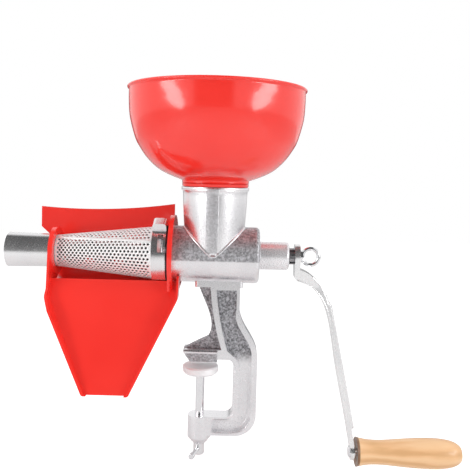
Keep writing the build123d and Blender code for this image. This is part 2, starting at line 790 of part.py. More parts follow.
with BuildPart() as crank_arm:
    extrude(crank_side(), amount=eye_radius, both=True)
    extrude(crank_front(), amount=tip_out_x - eye_left + cut_past, mode=Mode.INTERSECT)
    with BuildSketch(Plane.XZ):
        with BuildLine():
            edge = Spline((run_out_x + flange_step - groove_depth, run_out_z),
                          (mid_out_x - groove_depth, mid_out_z), (low_out_x - groove_depth, low_out_z),
                          (end_out_x - groove_depth, end_out_z))
            Polyline(edge @ 1, (end_out_x + groove_depth, end_out_z), (end_out_x + groove_depth, run_out_z),
                     edge @ 0)
        make_face()
    extrude(amount=groove_half, both=True, mode=Mode.SUBTRACT)
    with BuildSketch(Plane(origin=(eye_left - cut_past, 0, axis_z), z_dir=(1, 0, 0))):
        Rectangle(shaft_flat, shaft_flat)
    extrude(amount=eye_right - eye_left + 2 * cut_past, mode=Mode.SUBTRACT)
    extrude(x_disc(spindle_radius, tip_in_x - cut_past, handle_z), amount=tip_out_x - tip_in_x + 2 * cut_past,
            mode=Mode.SUBTRACT)
    extrude(x_disc(spindle_head + slip_gap, tip_in_x, handle_z), amount=-spindle_head, mode=Mode.SUBTRACT)
save(crank_arm, "crank_arm")

# ---------------------------------------------------------------- thumb screw
with BuildPart() as thumb_screw:
    collar_x = eye_right + face_gap
    extrude(x_disc(thumb_shank, eye_right - thumb_depth, axis_z), amount=collar_x - eye_right + thumb_depth)
    extrude(x_disc(thumb_collar, collar_x, axis_z), amount=thumb_collar_length)
    with BuildSketch(Plane(origin=(collar_x + thumb_collar_length, 0, axis_z), z_dir=(1, 0, 0))):
        Circle(thumb_collar)
    with BuildSketch(Plane(origin=(thumb_ring_x - thumb_ring_radius + thumb_wire * 0.5, 0, axis_z), z_dir=(1, 0, 0))):
        Circle(thumb_wire)
    loft()
    with Locations(Location((thumb_ring_x, 0, axis_z), (90, 0, 0))):
        Torus(thumb_ring_radius, thumb_wire)
save(thumb_screw, "thumb_screw")

# ---------------------------------------------------------------- handle
with BuildPart() as handle_spindle:
    spindle_left = tip_in_x - spindle_head_length
    spindle_right = grip_right - head_pocket_depth + spindle_head_length
    extrude(x_disc(spindle_radius, spindle_left, handle_z), amount=spindle_right - spindle_left)
    extrude(x_disc(spindle_head, spindle_left, handle_z), amount=spindle_head_length)
    chamfer(faces().sort_by(Axis.X)[0].edges(), round_edge)
    extrude(x_disc(spindle_head, spindle_right - spindle_head_length + face_gap, handle_z),
            amount=spindle_head_length)
save(handle_spindle, "handle_spindle")

with BuildPart() as handle_washer:
    revolve(ring_face(spindle_radius, handle_washer_radius, tip_out_x, tip_out_x + handle_washer_length, handle_z),
            axis=handle_axis)
save(handle_washer, "handle_washer")

with BuildPart() as handle_grip:
    with BuildSketch(Plane.XZ):
        with BuildLine():
            side = Spline((grip_left, handle_z + grip_flare), (grip_waist_x, handle_z + grip_waist),
                          (grip_swell_x, handle_z + grip_swell), (grip_belly_x, handle_z + grip_belly),
                          (grip_shoulder_x, handle_z + grip_shoulder), (grip_cheek_x, handle_z + grip_cheek),
                          (grip_right - run_gap, handle_z + grip_nose))
            Polyline(side @ 1, (grip_right, handle_z + head_pocket),
                     (grip_right - head_pocket_depth, handle_z + head_pocket),
                     (grip_right - head_pocket_depth, handle_z + spindle_radius + run_gap),
                     (grip_left + grip_dish, handle_z + spindle_radius + run_gap),
                     (grip_left + grip_dish, handle_z + handle_washer_radius + round_edge), side @ 0)
        make_face()
    revolve(axis=handle_axis)
save(handle_grip, "handle_grip")

# ---------------------------------------------------------------- clamp
with BuildPart() as clamp_pad:
    revolve(face_xz([(0, pad_bottom), (pad_step_radius - pad_round, pad_bottom),
                     (pad_step_radius, pad_bottom + pad_round), (pad_step_radius, pad_bottom + pad_step),
                     (pad_radius, pad_bottom + pad_step), (pad_radius, pad_top - round_edge),
                     (pad_radius - round_edge, pad_top), (0, pad_top)]), axis=screw_axis)
    extrude(z_disc(nose_radius + screw_gap, 0, pad_bottom), amount=nose_height + face_gap, mode=Mode.SUBTRACT)
save(clamp_pad, "clamp_pad")

with BuildPart() as pad_keeper:
    with BuildSketch(Plane(origin=(0, 0, pad_bottom - keeper_length))):
        Circle(keeper_radius)
        Circle(nose_radius + screw_gap, mode=Mode.SUBTRACT)
    extrude(amount=keeper_length)
save(pad_keeper, "pad_keeper")

with BuildPart() as clamp_screw:
    rod_top = pad_bottom - keeper_length - face_gap
    extrude(z_disc(screw_radius, 0, rod_top), amount=head_top - rod_top)
    extrude(z_disc(nose_radius, 0, rod_top), amount=pad_bottom + nose_height - rod_top)
    extrude(z_disc(head_radius, 0, head_top), amount=head_bottom - head_top)
    chamfer(faces().sort_by(Axis.Z)[0].edges(), round_edge)
    turn = radians(bar_turn)
    bar_dir = (-sin(turn), -cos(turn), 0)
    with BuildSketch(Plane(origin=(0, 0, bar_z), z_dir=bar_dir)):
        Circle(bar_radius + run_gap)
    extrude(amount=2 * head_radius, both=True, mode=Mode.SUBTRACT)
save(clamp_screw, "clamp_screw")

with BuildPart() as tommy_bar:
    with BuildSketch(Plane(origin=(0, 0, bar_z), z_dir=bar_dir)):
        Circle(bar_radius)
    extrude(amount=bar_half, both=True)
save(tommy_bar, "tommy_bar")

with BuildPart() as tommy_knobs:
    for side in (-1, 1):
        reach = side * (bar_half - knob_length)
        start = (bar_dir[0] * reach, bar_dir[1] * reach, bar_z)
        with BuildSketch(Plane(origin=start, z_dir=(side * bar_dir[0], side * bar_dir[1], 0))):
            Circle(knob_radius)
            Circle(bar_radius, mode=Mode.SUBTRACT)
        extrude(amount=knob_length)
save(tommy_knobs, "tommy_knobs")
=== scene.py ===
import math

import bmesh
import bpy
from mathutils import Matrix, Vector


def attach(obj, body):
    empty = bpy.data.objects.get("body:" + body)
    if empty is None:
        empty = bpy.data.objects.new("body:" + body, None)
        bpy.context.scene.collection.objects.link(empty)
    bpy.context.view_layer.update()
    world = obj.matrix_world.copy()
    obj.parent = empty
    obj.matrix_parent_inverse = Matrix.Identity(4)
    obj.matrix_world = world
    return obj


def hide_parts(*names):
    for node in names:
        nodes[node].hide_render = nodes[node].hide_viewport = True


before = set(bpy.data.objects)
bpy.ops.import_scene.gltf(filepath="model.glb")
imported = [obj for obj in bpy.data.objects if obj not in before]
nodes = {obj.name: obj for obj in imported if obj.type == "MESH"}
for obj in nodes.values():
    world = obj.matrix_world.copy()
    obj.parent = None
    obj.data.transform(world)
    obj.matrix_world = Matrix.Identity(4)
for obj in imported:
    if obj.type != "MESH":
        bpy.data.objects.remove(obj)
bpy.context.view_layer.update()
MM = 0.001

# Driving sizes of the dressed pieces, in mm. They follow the CAD nodes.
AXIS_Z = 111.4
NECK_X = 11.0
NECK_TOP = 181.2
BARREL_RADIUS = 29.0
BRACKET_FACE = 10.45
UP = (0, 0, 1)

# ------------------------------------------------------------------ camera
IMAGE = 470.0
FOCAL_PX = 650.0
CAM_X, CAM_BACK, CAM_Z = 0.0319, 0.6736, 0.1924
PITCH, ROLL = 3.0, 1.5
SHIFT_PX = 24.0
SENSOR_MM = 36.0


def make_camera():
    """The camera in front of the part, tilted down and rolled a little."""
    cam = bpy.data.cameras.new("camera")
    cam.sensor_fit = "AUTO"
    cam.sensor_width = SENSOR_MM
    cam.lens = FOCAL_PX / IMAGE * SENSOR_MM
    cam.shift_y = -SHIFT_PX / IMAGE
    cam.clip_start = 0.01
    cam.clip_end = 20.0
    ob = bpy.data.objects.new("camera", cam)
    bpy.context.scene.collection.objects.link(ob)
    p, r = math.radians(PITCH), math.radians(ROLL)
    ahead = Vector((0, math.cos(p), -math.sin(p)))
    right = Vector((1, 0, 0))
    up = right.cross(ahead)
    right, up = right * math.cos(r) + up * math.sin(r), up * math.cos(r) - right * math.sin(r)
    m = Matrix((right, up, -ahead)).transposed().to_4x4()
    m.translation = Vector((CAM_X, -CAM_BACK, CAM_Z))
    ob.matrix_world = m
    bpy.context.scene.camera = ob


# ------------------------------------------------------------------ shader helpers
class Shader:
    """A material's or world's node tree with short ways to add nodes."""

    def __init__(self, owner):
        owner.use_nodes = True
        self.tree = owner.node_tree
        self.coords = self.tree.nodes.new("ShaderNodeTexCoord")

    def node(self, kind, inputs=None, **settings):
        n = self.tree.nodes.new("ShaderNode" + kind)
        for key, value in settings.items():
            setattr(n, key, value)
        for key, value in (inputs or {}).items():
            self.put(n.inputs[key], value)
        return n

    def put(self, socket, value):
        if isinstance(value, bpy.types.NodeSocket):
            self.tree.links.new(value, socket)
        else:
            socket.default_value = value

    def place(self, scale=(1, 1, 1)):
        return self.node("Mapping", {"Vector": self.coords.outputs["Object"], "Scale": scale}).outputs[0]

    def noise(self, scale, detail=3.0, rough=0.5, vector=None):
        n = self.node("TexNoise", {"Scale": scale, "Detail": detail, "Roughness": rough,
                                   "Vector": vector or self.coords.outputs["Object"]})
        return n.outputs[0]

    def math(self, how, a, b=0.0, c=0.0):
        return self.node("Math", {0: a, 1: b, 2: c}, operation=how).outputs[0]

    def band(self, value, low, high, soft):
        """1 between low and high, falling to 0 over soft outside."""
        up = self.node("MapRange", {"Value": value, "From Min": low - soft, "From Max": low},
                       interpolation_type="SMOOTHSTEP").outputs[0]
        down = self.node("MapRange", {"Value": value, "From Min": high, "From Max": high + soft,
                                      "To Min": 1.0, "To Max": 0.0},
                         interpolation_type="SMOOTHSTEP").outputs[0]
        return self.math("MULTIPLY", up, down)

    def ramp(self, value, stops):
        n = self.node("ValToRGB", {"Fac": value})
        e = n.color_ramp.elements
        while len(e) < len(stops):
            e.new(0.5)
        for item, (pos, color) in zip(e, stops):
            item.position = pos
            item.color = (*color, 1)
        return n.outputs[0]

    def mix(self, fac, a, b):
        n = self.node("Mix", data_type="RGBA")
        self.put(n.inputs[0], fac)
        self.put(n.inputs[6], a if isinstance(a, bpy.types.NodeSocket) else (*a, 1))
        self.put(n.inputs[7], b if isinstance(b, bpy.types.NodeSocket) else (*b, 1))
        return n.outputs[2]

    def level(self, value, low, high, out_low, out_high):
        return self.node("MapRange", {"Value": value, "From Min": low, "From Max": high,
                                      "To Min": out_low, "To Max": out_high}).outputs[0]

    def bump(self, height, strength, distance):
        n = self.node("Bump", {"Height": height, "Strength": strength, "Distance": distance * MM})
        return n.outputs[0]

    def position(self):
        n = self.node("SeparateXYZ", {"Vector": self.coords.outputs["Object"]})
        return n.outputs[0], n.outputs[1], n.outputs[2]


def material(name):
    m = bpy.data.materials.new(name)
    s = Shader(m)
    s.body = s.tree.nodes["Principled BSDF"]
    s.material = m
    return s


def finish_material(s, **inputs):
    for key, value in inputs.items():
        socket = s.body.inputs[key.replace("_", " ")]
        if isinstance(value, tuple) and len(value) == 3 and socket.type == "RGBA":
            value = (*value, 1)
        s.put(socket, value)
    return s.material


# ------------------------------------------------------------------ materials
def make_cast():
    """Polished casting, left rough in its recesses, with painted shade darkening the rough zones."""
    s = material("cast_aluminium")
    x, y, z = s.position()
    fine = s.noise(900.0, 4.0, 0.65)
    coarse = s.noise(430.0, 5.0, 0.75)
    soft = s.noise(28.0, 3.0, 0.5)
    # Where the casting is left rough and darkened with painted shade (recesses, underneath, the barrel's
    # upper half, the neck's middle), each zone in metres.
    web = s.math("MULTIPLY", s.band(y, -0.0052, 0.0052, 0.0008), s.band(z, 0.012, 0.0785, 0.016))
    under = s.math("MULTIPLY", s.band(x, -0.0150, 0.0172, 0.0006), s.band(z, 0.0010, 0.0100, 0.0006))
    under = s.math("MULTIPLY", under, s.band(y, -0.016, 0.002, 0.001))
    upper = s.math("MULTIPLY", s.band(z, 0.1085, 0.1500, 0.002), s.band(x, -0.040, 0.0585, 0.001))
    from_axis = s.node("CombineXYZ", {"Y": y, "Z": s.math("SUBTRACT", z, AXIS_Z * MM)}).outputs[0]
    reach = s.node("VectorMath", {0: from_axis}, operation="LENGTH").outputs[1]
    front = s.math("MULTIPLY", upper, s.band(reach, 0.0, 0.0291, 0.0002))
    strip = s.math("MULTIPLY", s.band(x, 0.0035, 0.0150, 0.0012), s.band(z, 0.116, 0.1790, 0.0015))
    rough_and_shaded_zone = s.math("MAXIMUM", web, s.math("MULTIPLY", under, 0.8))
    rough_and_shaded_zone = s.math("MAXIMUM", rough_and_shaded_zone, s.math("MULTIPLY", strip, 0.45))
    rough_and_shaded_zone = s.math("MAXIMUM", rough_and_shaded_zone, s.math("MULTIPLY", front, 0.85))
    grain = s.level(coarse, 0.40, 0.62, 0.0, 1.0)
    dark = s.mix(grain, (0.045, 0.045, 0.05), (0.62, 0.62, 0.66))
    light = s.mix(s.level(soft, 0.3, 0.7, 0.0, 1.0), (0.80, 0.79, 0.81), (0.90, 0.89, 0.905))
    # Painted shade: the rough zones are mixed towards a near-black grained colour.
    color = s.mix(s.math("MULTIPLY", rough_and_shaded_zone, 0.85), light, dark)
    rough = s.math("ADD", s.level(fine, 0.3, 0.7, 0.24, 0.34), s.math("MULTIPLY", rough_and_shaded_zone, 0.22))
    height = s.math("ADD", s.math("MULTIPLY", fine, 0.12),
                    s.math("MULTIPLY", s.math("MULTIPLY", coarse, rough_and_shaded_zone), 2.8))
    # The arm's ledge and the rear housing are duller.
    pocket = s.math("MULTIPLY", s.band(z, -0.0760, -0.0590, 0.001), s.band(y, -0.0100, 0.0100, 0.0004))
    pocket = s.math("MULTIPLY", pocket, s.band(x, 0.0135, 0.0560, 0.001))
    sleeve = s.math("MULTIPLY", s.band(x, 0.0600, 0.0930, 0.001), s.band(z, 0.0950, 0.1300, 0.001))
    dull = s.math("MAXIMUM", s.math("MULTIPLY", pocket, 0.75), s.math("MULTIPLY", sleeve, 0.45))
    metal = s.math("SUBTRACT", 1.0, dull)
    return finish_material(s, Base_Color=color, Metallic=metal, Roughness=rough,
                           Normal=s.bump(height, 0.35, 0.8))


def make_red():
    """Glossy red plastic, slightly uneven."""
    s = material("red_plastic")
    soft = s.noise(14.0, 2.0, 0.5)
    fine = s.noise(1400.0, 3.0, 0.6)
    color = s.mix(s.level(soft, 0.3, 0.7, 0.0, 1.0), (0.93, 0.030, 0.020), (0.98, 0.040, 0.028))
    rough = s.level(fine, 0.3, 0.7, 0.17, 0.23)
    return finish_material(s, Base_Color=color, Roughness=rough, Specular_IOR_Level=0.55, Coat_Weight=0.35,
                           Coat_Roughness=0.08, Subsurface_Weight=0.10,
                           Subsurface_Radius=(0.006, 0.002, 0.002), Subsurface_Scale=0.4,
                           Normal=s.bump(s.noise(60.0, 2.0, 0.5), 0.12, 0.6))


def make_metal(name, low, high, rough_low, rough_high, scale=420.0, stretch=(1, 1, 1), metallic=1.0):
    """Metal with a fine grain, drawn out by stretch, and soft blotches."""
    s = material(name)
    where = s.place(stretch)
    grain = s.noise(scale, 4.0, 0.6, where)
    blotch = s.noise(35.0, 2.0, 0.5)
    mixed = s.math("ADD", s.math("MULTIPLY", grain, 0.6), s.math("MULTIPLY", blotch, 0.4))
    color = s.mix(s.level(mixed, 0.35, 0.65, 0.0, 1.0), low, high)
    rough = s.level(grain, 0.3, 0.7, rough_low, rough_high)
    return finish_material(s, Base_Color=color, Metallic=metallic, Roughness=rough,
                           Normal=s.bump(grain, 0.08, 0.25))


def make_wood():
    """Varnished wood with its grain along the grip and a ring of painted shade at the washer's end."""
    s = material("grip_wood")
    x, y, z = s.position()
    where = s.place((0.22, 1.0, 1.0))
    warp = s.noise(90.0, 4.0, 0.6, where)
    rings = s.node("TexWave", {"Vector": where, "Scale": 22.0, "Distortion": 7.0, "Detail": 3.0,
                               "Detail Scale": 1.6}, wave_type="BANDS", bands_direction="Z").outputs[1]
    pores = s.noise(1500.0, 3.0, 0.7, s.place((0.05, 1.0, 1.0)))
    tone = s.math("ADD", s.math("MULTIPLY", rings, 0.45), s.math("MULTIPLY", warp, 0.55))
    color = s.ramp(tone, [(0.25, (0.74, 0.42, 0.19)), (0.50, (0.87, 0.52, 0.26)), (0.75, (0.93, 0.60, 0.33))])
    streaks = s.level(pores, 0.62, 0.75, 0.0, 0.22)
    color = s.mix(streaks, color, (0.42, 0.20, 0.08))
    # Painted shade: the grip's end by the washer is coloured dark where its surface turns in.
    end_shade_ring = s.band(x, 0.1600, 0.1679, 0.0012)
    color = s.mix(s.math("MULTIPLY", end_shade_ring, 0.88), color, (0.13, 0.05, 0.02))
    return finish_material(s, Base_Color=color, Roughness=s.level(warp, 0.3, 0.7, 0.34, 0.46),
                           Coat_Weight=0.35, Coat_Roughness=0.18, Normal=s.bump(pores, 0.10, 0.2))


def make_plain(name, low, high, rough, scale=300.0, bump=0.15):
    """Plastic or rubber with a fine grain."""
    s = material(name)
    grain = s.noise(scale, 4.0, 0.6)
    color = s.mix(s.level(grain, 0.35, 0.65, 0.0, 1.0), low, high)
    return finish_material(s, Base_Color=color,
                           Roughness=s.level(grain, 0.3, 0.7, rough - 0.06, rough + 0.06),
                           Normal=s.bump(grain, bump, 0.3))


CAST = make_cast()
RED = make_red()
SCREEN = make_metal("screen_steel", (0.93, 0.93, 0.93), (0.99, 0.99, 0.99), 0.42, 0.52, 600.0, (0.3, 1, 1),
                    metallic=0.35)
TURNED = make_metal("turned_aluminium", (0.78, 0.78, 0.79), (0.88, 0.87, 0.88), 0.18, 0.28, 700.0,
                    (6, 0.4, 0.4))
PLATED = make_metal("plated_steel", (0.76, 0.76, 0.78), (0.86, 0.86, 0.87), 0.10, 0.18, 500.0)
DOG = make_metal("dog_steel", (0.20, 0.20, 0.21), (0.42, 0.42, 0.43), 0.25, 0.40, 300.0)
CRANK = make_metal("crank_steel", (0.84, 0.84, 0.85), (0.93, 0.93, 0.93), 0.20, 0.32, 350.0, (1, 1, 0.25))
PAD = make_metal("pad_aluminium", (0.93, 0.92, 0.93), (0.98, 0.97, 0.98), 0.52, 0.62, 350.0, metallic=0.45)
BRASS = make_metal("bush_brass", (0.62, 0.44, 0.16), (0.80, 0.60, 0.28), 0.22, 0.34, 300.0)
# The auger is coloured near black as painted shade for the dark inside the perforated cone.
SHADED_AUGER = make_plain("auger_plastic", (0.06, 0.06, 0.058), (0.11, 0.11, 0.10), 0.5)
RUBBER = make_plain("seal_rubber", (0.015, 0.015, 0.018), (0.05, 0.05, 0.055), 0.62, 500.0, 0.3)
WOOD = make_wood()


# ------------------------------------------------------------------ mesh helpers
def new_object(name, bm, mat, smooth=True):
    bmesh.ops.remove_doubles(bm, verts=bm.verts, dist=0.00001)
    bmesh.ops.recalc_face_normals(bm, faces=bm.faces)
    me = bpy.data.meshes.new(name)
    bm.to_mesh(me)
    bm.free()
    for p in me.polygons:
        p.use_smooth = smooth
    me.materials.append(mat)
    ob = bpy.data.objects.new(name, me)
    bpy.context.scene.collection.objects.link(ob)
    return ob


def rounded(points, steps=5):
    """A path through (a, b, radius) corners with each corner rounded."""
    out = []
    n = len(points)
    for i, (a, b, r) in enumerate(points):
        here = Vector((a, b))
        before = Vector(points[i - 1][:2]) - here
        after = Vector(points[(i + 1) % n][:2]) - here
        if r <= 0 or before.length < 1e-6 or after.length < 1e-6:
            out.append((a, b))
            continue
        cut = min(r, before.length * 0.48, after.length * 0.48)
        p, q = here + before.normalized() * cut, here + after.normalized() * cut
        for k in range(steps + 1):
            t = k / steps
            v = p * (1 - t) ** 2 + here * 2 * t * (1 - t) + q * t ** 2
            out.append((v.x, v.y))
    return out


def lathe(name, path, origin, along, mat, steps):
    """Turns a closed path of (radius, distance) mm about an axis from origin (mm) in direction along."""
    bm = bmesh.new()
    axis = Vector(along).normalized()
    side = axis.orthogonal().normalized()
    other = axis.cross(side)
    rings = []
    for r, d in path:
        ring = []
        for k in range(steps):
            t = 2 * math.pi * k / steps
            v = Vector(origin) + axis * d + (side * math.cos(t) + other * math.sin(t)) * r
            ring.append(bm.verts.new(v * MM))
        rings.append(ring)
    for a, b in zip(rings, rings[1:] + rings[:1]):
        for k in range(steps):
            bm.faces.new((a[k], a[(k + 1) % steps], b[(k + 1) % steps], b[k]))
    return new_object(name, bm, mat)


def soften(ob, width):
    """Rounds a CAD node's edges and smooths its shading."""
    weld = ob.modifiers.new("weld", "WELD")
    weld.merge_threshold = 0.00002
    bevel = ob.modifiers.new("edges", "BEVEL")
    bevel.width = width * MM
    bevel.segments = 2
    bevel.limit_method = "ANGLE"
    bevel.angle_limit = math.radians(32.0)
    bevel.use_clamp_overlap = True
    bevel.harden_normals = False
    normals = ob.modifiers.new("normals", "WEIGHTED_NORMAL")
    normals.weight = 80
    normals.keep_sharp = False


def dress(ob, mat):
    ob.data.materials.clear()
    ob.data.materials.append(mat)


# ------------------------------------------------------------------ CAD nodes kept as they are, with finishes
FINISH = {
    "body_casting": CAST, "bayonet_pins": PLATED, "strainer_gasket": RUBBER, "shaft_bush": BRASS,
    "shaft_seal": RUBBER, "hopper_bowl": RED, "strainer_screen": SCREEN, "strainer_collar": TURNED,
    "outlet_tube": TURNED, "juice_chute": RED, "feed_auger": SHADED_AUGER, "thrust_washer": PLATED,
    "auger_shaft": PLATED, "drive_dog": DOG, "crank_arm": CRANK, "thumb_screw": PLATED,
    "handle_spindle": PLATED, "handle_washer": PLATED, "handle_grip": WOOD, "clamp_pad": PAD,
    "pad_keeper": PLATED, "clamp_screw": PLATED, "tommy_bar": PLATED, "tommy_knobs": PLATED,
}
for node_name, finish in FINISH.items():
    dress(nodes[node_name], finish)

EDGE_MM = {
    "body_casting": 0.7, "crank_arm": 0.5, "juice_chute": 0.35, "strainer_collar": 0.4,
    "drive_dog": 0.2, "clamp_screw": 0.3, "tommy_knobs": 0.2, "thumb_screw": 0.4,
}
for node_name, edge in EDGE_MM.items():
    soften(nodes[node_name], edge)


# ------------------------------------------------------------------ hopper bowl
def curve(points, steps=8):
    """A smooth path through (a, b) points."""
    pts = [points[0]] + list(points) + [points[-1]]
    out = []
    for i in range(1, len(pts) - 2):
        p0, p1, p2, p3 = (Vector(v) for v in pts[i - 1:i + 3])
        for k in range(steps):
            t = k / steps
            v = 0.5 * (2 * p1 + (p2 - p0) * t + (2 * p0 - 5 * p1 + 4 * p2 - p3) * t * t
                       + (3 * p1 - p0 - 3 * p2 + p3) * t ** 3)
            out.append((v.x, v.y))
    out.append(tuple(points[-1]))
    return out


def make_bowl():
    """Turned bowl with a rolled lip, a foot ring and a spigot."""
    neck = NECK_TOP
    top = neck + 101.2
    flank = curve([(34.6, neck + 6.9), (50.0, neck + 12.9), (60.8, neck + 19.2), (70.4, neck + 28.3),
                   (77.7, neck + 38.4), (83.2, neck + 48.8), (88.7, neck + 69.2), (90.1, neck + 86.0),
                   (90.2, top - 3.6)])
    lip = [(90.7, top - 3.0), (91.4, top - 2.7), (91.8, top - 2.0), (91.9, top - 1.3), (91.5, top - 0.5),
           (90.7, top - 0.05), (89.4, top), (88.6, top - 0.3), (88.1, top - 1.2)]
    inner = curve([(88.0, top - 3.6), (87.9, neck + 86.0), (86.5, neck + 70.0), (81.0, neck + 50.2),
                   (75.6, neck + 40.2), (68.4, neck + 30.4), (58.9, neck + 21.6), (47.8, neck + 15.2),
                   (34.0, neck + 11.2), (26.0, neck + 8.6), (24.7, neck + 5.0)])
    tail = rounded([(24.6, neck - 18.8, 0.6), (28.1, neck - 19.0, 0.6), (28.1, neck + 0.35, 0.4),
                    (33.9, neck + 0.4, 0.6), (34.5, neck + 3.6, 0.6)])
    return lathe("bowl", flank + lip + inner + tail, (NECK_X, 0, 0), UP, RED, 128)


bowl = make_bowl()
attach(bowl, "hopper")
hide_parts("hopper_bowl")


# ------------------------------------------------------------------ cast details
def neck_radius(z):
    """Outer radius of the neck at height z, in mm."""
    marks = [(111.0, 29.05), (122.0, 29.9), (135.0, 31.0), (150.0, 32.1), (165.0, 32.85), (178.2, 33.35),
             (190.0, 33.4)]
    for (z0, r0), (z1, r1) in zip(marks, marks[1:]):
        if z <= z1:
            return r0 + (r1 - r0) * (z - z0) / (z1 - z0)
    return marks[-1][1]


def make_neck():
    """The neck's turned outside with its rolled upper edge."""
    path = [(neck_radius(z), z) for z in range(112, 178, 3)]
    path += [(33.6, 177.4), (34.2, 178.0), (34.8, 178.7), (35.0, 179.6), (34.95, 180.6), (34.4, 181.15),
             (33.4, 181.15)]
    path += [(32.0, 180.4), (32.0, 150.0), (28.0, 112.0)]
    return lathe("neck_skin", path, (NECK_X, 0, 0), UP, CAST, 128)


def tube(name, points, radius, mat, steps=10):
    """A round bead with closed ends along a path of mm points."""
    bm = bmesh.new()
    pts = [Vector(v) for v in points]
    n = len(pts)
    rings = []
    up = Vector((0, 1, 0.02))
    for i, v in enumerate(pts):
        a = pts[max(i - 1, 0)]
        b = pts[min(i + 1, n - 1)]
        way = (b - a).normalized()
        side = way.cross(up).normalized()
        other = way.cross(side).normalized()
        rings.append([bm.verts.new((v + (side * math.cos(k * 2 * math.pi / steps)
                                         + other * math.sin(k * 2 * math.pi / steps)) * radius) * MM)
                      for k in range(steps)])
    for a, b in zip(rings, rings[1:]):
        for k in range(steps):
            bm.faces.new((a[k], a[(k + 1) % steps], b[(k + 1) % steps], b[k]))
    bm.faces.new(rings[0])
    bm.faces.new(list(reversed(rings[-1])))
    return new_object(name, bm, mat)


def make_saddle(front):
    """The rounded ridge where the neck meets the barrel."""
    pts = []
    for k in range(-40, 41):
        x = NECK_X + 31.0 * k / 40.0
        z = 130.0
        for _ in range(12):
            r = neck_radius(z)
            y = math.sqrt(max(0.0, r * r - (x - NECK_X) ** 2))
            drop = BARREL_RADIUS ** 2 - y * y
            z = AXIS_Z + math.sqrt(drop) if drop > 0 else AXIS_Z + 1.0
        y = min(y, BARREL_RADIUS - 0.1)
        pts.append((x, -y if front else y, z))
    keep = []
    for v in pts:
        if not keep or (Vector(v) - Vector(keep[-1])).length > 0.5:
            keep.append(v)
    return tube("saddle_front" if front else "saddle_back", keep, 1.35, CAST)


def add_cast(ob):
    """Puts a piece on the frame as part of the casting."""
    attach(ob, "frame")


# Beads along the clamp's flanges: name, radius and the (x, z) points of each.
FLANGE_LINES = (
    ("flange_inner_", 0.45, [(36.0, -8.0), (36.1, -30.0), (36.1, -48.0), (34.6, -54.5), (30.5, -58.8),
                             (24.0, -59.9), (14.5, -60.0)]),
    ("flange_outer_", 0.45, [(54.3, 2.0), (54.6, -20.0), (54.4, -52.0), (52.2, -62.0), (46.5, -69.4),
                             (38.0, -73.2), (26.0, -74.0), (14.5, -74.0)]),
    ("flange_web_", 0.35, [(50.6, 0.0), (50.8, -20.0), (50.6, -50.0), (48.6, -59.0), (43.4, -66.0),
                           (36.0, -69.6)]),
)
for face_y, tag in ((-BRACKET_FACE, "front"), (BRACKET_FACE, "back")):
    for name, radius, marks in FLANGE_LINES:
        line = [(x, face_y, z) for x, z in curve(marks, 6)]
        add_cast(tube(name + tag, line, radius, CAST, steps=8))
add_cast(make_neck())
add_cast(make_saddle(True))
add_cast(make_saddle(False))


def crank_half(z):
    """Half width of the crank arm at height z, in mm."""
    marks = [(-104.0, 5.5), (-94.3, 6.0), (80.7, 7.5), (98.6, 12.8), (130.0, 12.8)]
    for (z0, h0), (z1, h1) in zip(marks, marks[1:]):
        if z <= z1:
            return h0 + (h1 - h0) * (z - z0) / (z1 - z0)
    return 12.8


def make_crank_beads():
    """Raised edges along both sides of the pressed crank arm."""
    outer = curve([(113.5, 92.0), (124.5, 80.2), (132.4, 62.4), (134.2, 62.0), (145.9, 10.6), (154.6, -29.3),
                   (162.1, -66.3)])
    inner = curve([(97.0, 87.4), (110.5, 82.3), (122.0, 70.9), (131.4, 50.0), (139.8, 6.6), (153.2, -57.9),
                   (159.6, -90.0)])
    made = []
    for tag, line, shift in (("outer", outer, -1.0), ("inner", inner, 1.0)):
        for side in (-1, 1):
            pts = [(x + shift, side * (crank_half(z) - 0.15), z) for x, z in line]
            name = "crank_bead_%s_%s" % (tag, "front" if side < 0 else "back")
            made.append(tube(name, pts, 0.65, CRANK, steps=8))
    return made


for bead in make_crank_beads():
    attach(bead, "drive")


# ------------------------------------------------------------------ strainer screen
# The cone runs from its small end to big_x and goes on as a cylinder to the large end.
CONE_X0, CONE_BIG_X, CONE_X1 = -150.8, -51.0, -41.6
CONE_R0, CONE_R1 = 16.2, 27.4


